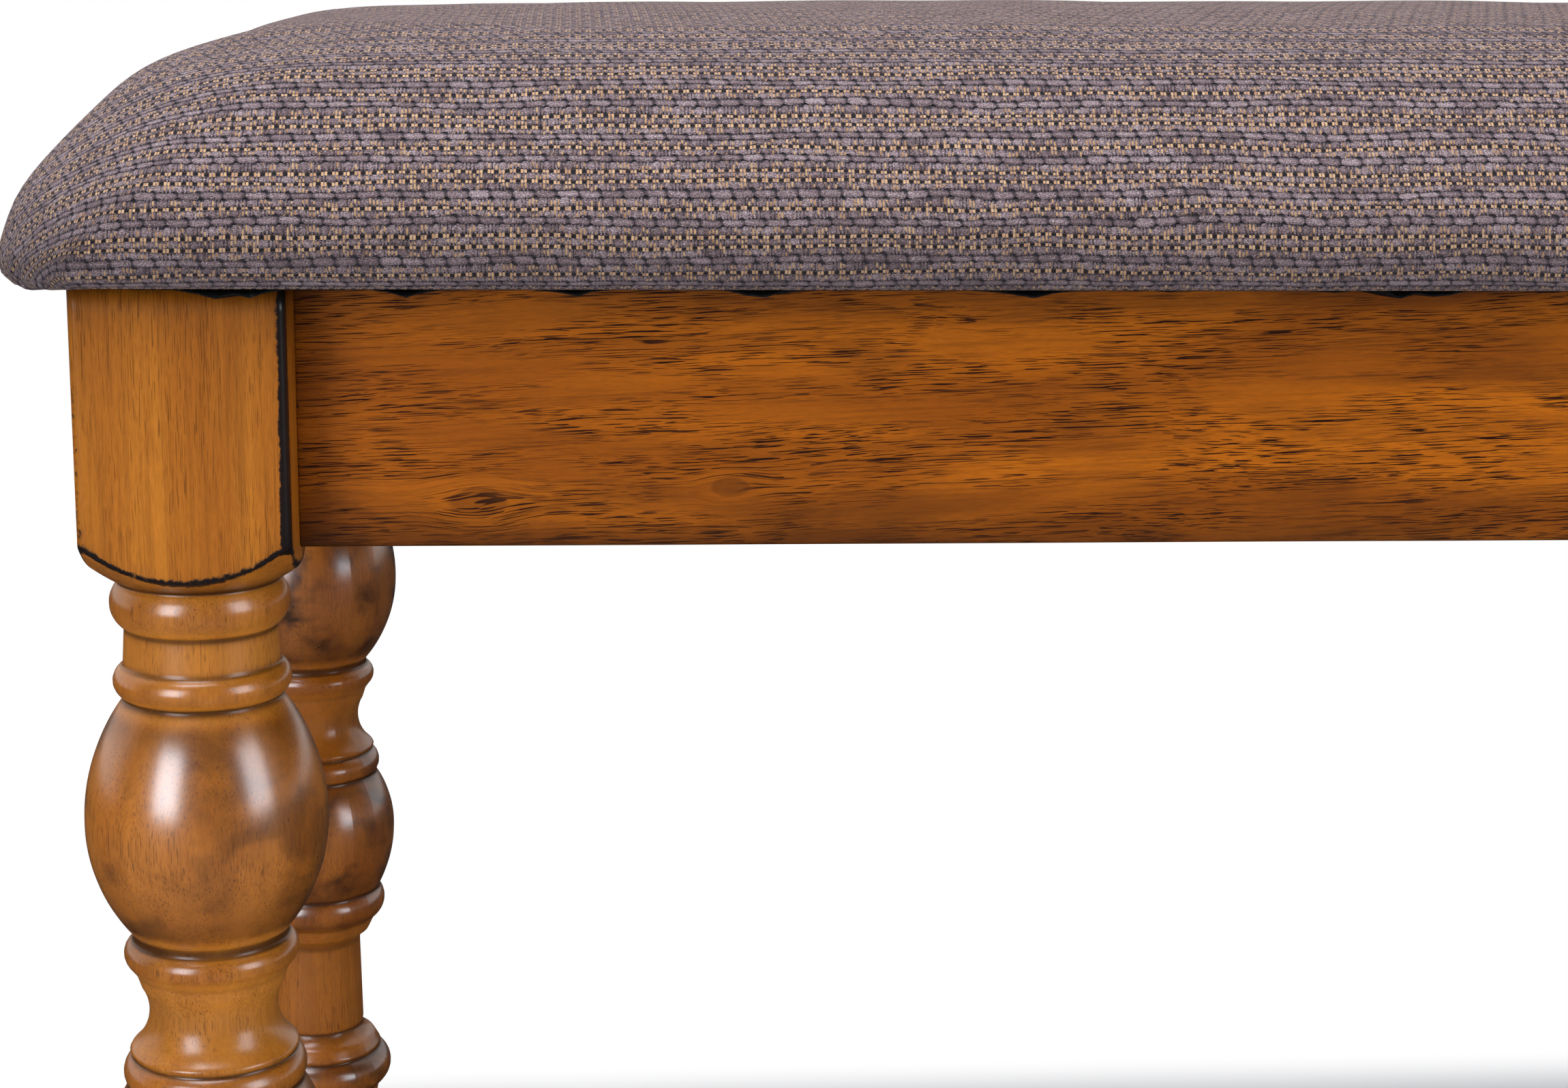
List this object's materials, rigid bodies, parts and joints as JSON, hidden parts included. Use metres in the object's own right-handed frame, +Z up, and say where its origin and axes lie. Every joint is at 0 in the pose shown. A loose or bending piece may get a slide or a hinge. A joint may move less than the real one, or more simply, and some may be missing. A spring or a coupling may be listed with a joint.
{
  "type": "dining bench",
  "caption": "Dining bench with turned wooden legs, plain aprons and a padded seat in heavy woven fabric, standing free on small glides.",
  "frame": {"origin": "on the floor, under the middle of the bench", "axes": "+X along the bench's length, -Y to its front, +Z up"},
  "size_m": [1.22, 0.406, 0.483],
  "materials": {
    "turned_wood": "satin lacquer over a honey-brown stain with dark glaze in the grooves and on the edges",
    "apron_wood": "satin lacquer over a honey-brown stain, long grain with dark pores",
    "inner_wood": "sawn and sanded, unfinished",
    "plywood": "unfinished",
    "glide_nylon": "matte",
    "zinc_steel": "zinc plated",
    "foam": "open-cell foam",
    "wadding": "fibre wadding",
    "woven_cover": "heavy chenille weave in taupe, with tan and black threads",
    "black_cloth": "thin non-woven cloth"
  },
  "bodies": {
    "root": {"leg_front_left": "turned_wood", "glide_front_left": "glide_nylon", "corner_block_front_left": "inner_wood", "leg_front_right": "turned_wood", "glide_front_right": "glide_nylon", "corner_block_front_right": "inner_wood", "leg_rear_left": "turned_wood", "glide_rear_left": "glide_nylon", "corner_block_rear_left": "inner_wood", "leg_rear_right": "turned_wood", "glide_rear_right": "glide_nylon", "corner_block_rear_right": "inner_wood", "front_apron": "apron_wood", "rear_apron": "apron_wood", "left_apron": "apron_wood", "right_apron": "apron_wood", "left_cross_rail": "inner_wood", "right_cross_rail": "inner_wood", "hanger_bolts": "zinc_steel", "hanger_bolt_washers": "zinc_steel", "hanger_bolt_nuts": "zinc_steel", "corner_block_screws": "zinc_steel", "seat_screws": "zinc_steel", "seat_board": "plywood", "seat_foam": "foam", "seat_wadding": "wadding", "seat_cover": "woven_cover", "dust_cover": "black_cloth"}
  },
  "joints": []
}
